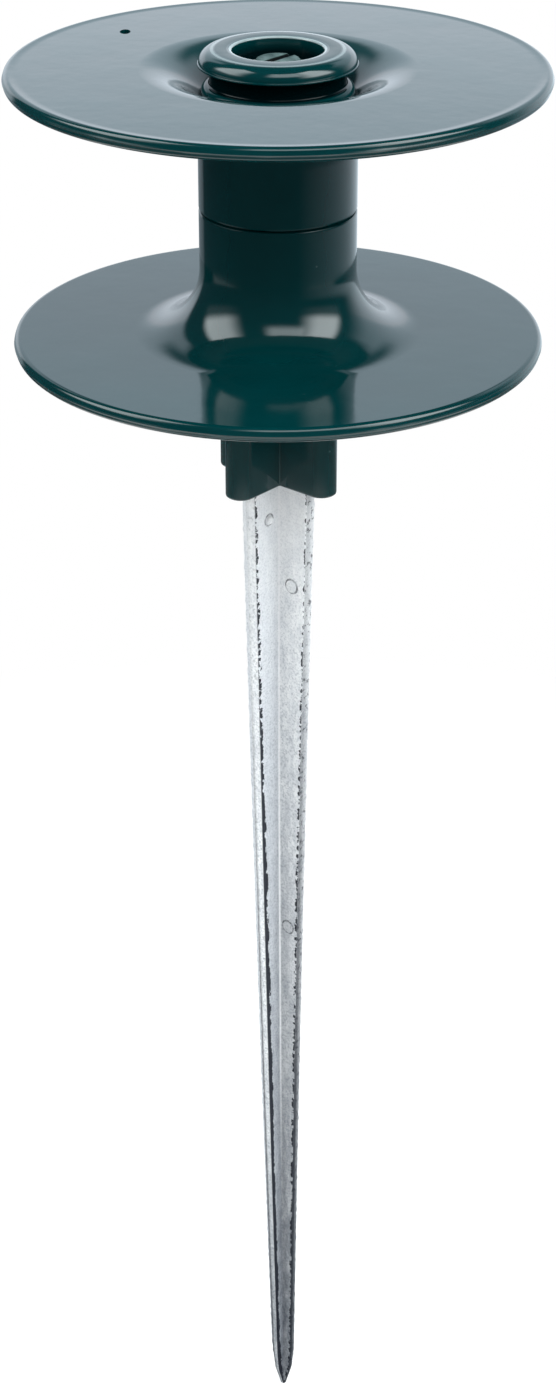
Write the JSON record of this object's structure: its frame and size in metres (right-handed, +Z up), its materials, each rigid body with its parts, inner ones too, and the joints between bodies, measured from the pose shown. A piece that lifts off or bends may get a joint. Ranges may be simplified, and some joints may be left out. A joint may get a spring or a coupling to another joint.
{
  "type": "hose guide stake",
  "caption": "Garden hose guide: a flanged spool of loose trumpet-shaped halves that spin on a moulded post, held by a capped screw on a cast cross-section ground spike.",
  "frame": {"origin": "on the axis at the ground line, level with the bottom of the cross-shaped socket", "axes": "+Z up along the axis, +X and +Y along the ribs of the spike"},
  "size_m": [0.108, 0.108, 0.3428],
  "materials": {
    "green_plastic": "gloss",
    "cast_zinc": "satin",
    "screw_steel": "satin"
  },
  "bodies": {
    "stake": {"spike": "cast_zinc", "socket_post": "green_plastic", "cap": "green_plastic", "cap_screw": "screw_steel"},
    "lower_half": {"lower_roller": "green_plastic"},
    "upper_half": {"upper_roller": "green_plastic"}
  },
  "joints": [
    {"name": "lower_half_spin", "type": "hinge", "parent": "stake", "child": "lower_half", "pos_m": [0, 0, 0.04517], "axis": [0, 0, 1], "continuous": true},
    {"name": "upper_half_spin", "type": "hinge", "parent": "stake", "child": "upper_half", "pos_m": [0, 0, 0.07357], "axis": [0, 0, 1], "continuous": true}
  ]
}
